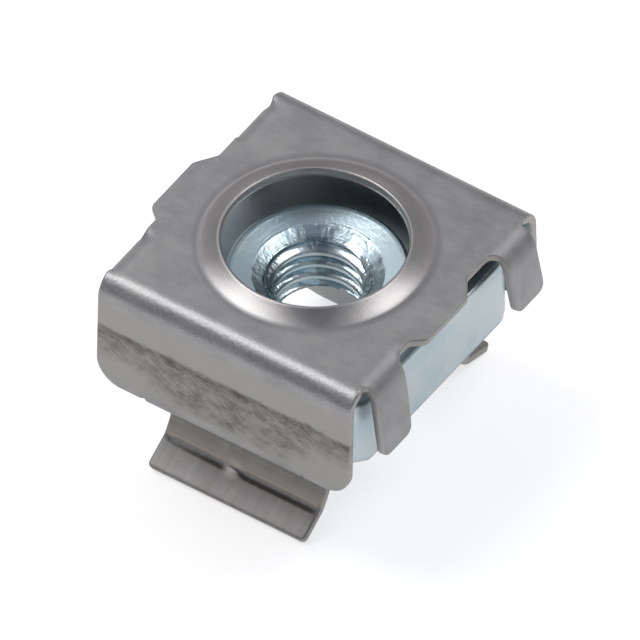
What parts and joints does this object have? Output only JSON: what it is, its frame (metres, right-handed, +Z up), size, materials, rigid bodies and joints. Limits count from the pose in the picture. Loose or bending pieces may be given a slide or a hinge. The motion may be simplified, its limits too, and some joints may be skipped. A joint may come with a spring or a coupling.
{
  "type": "rack cage nut",
  "caption": "Square threaded nut held loose in a folded spring-steel cage with two flared lugs that snap into a square rack hole.",
  "frame": {"origin": "middle of the cage on the surface that the lips of its two lugs stand on", "axes": "+Z up, from the lugs to the collar of the roof; X along the lugs and the shoulder folds; Y from the front wall to the back wall. A screw enters along +Z, from the lug side."},
  "size_m": [0.0162, 0.0158, 0.0118],
  "materials": {
    "cage": "satin spring steel strip, rubbed and slightly stained on the walls",
    "nut": "bright blue-white zinc plating"
  },
  "bodies": {
    "root": {"cage": "cage", "nut": "nut"}
  },
  "joints": []
}
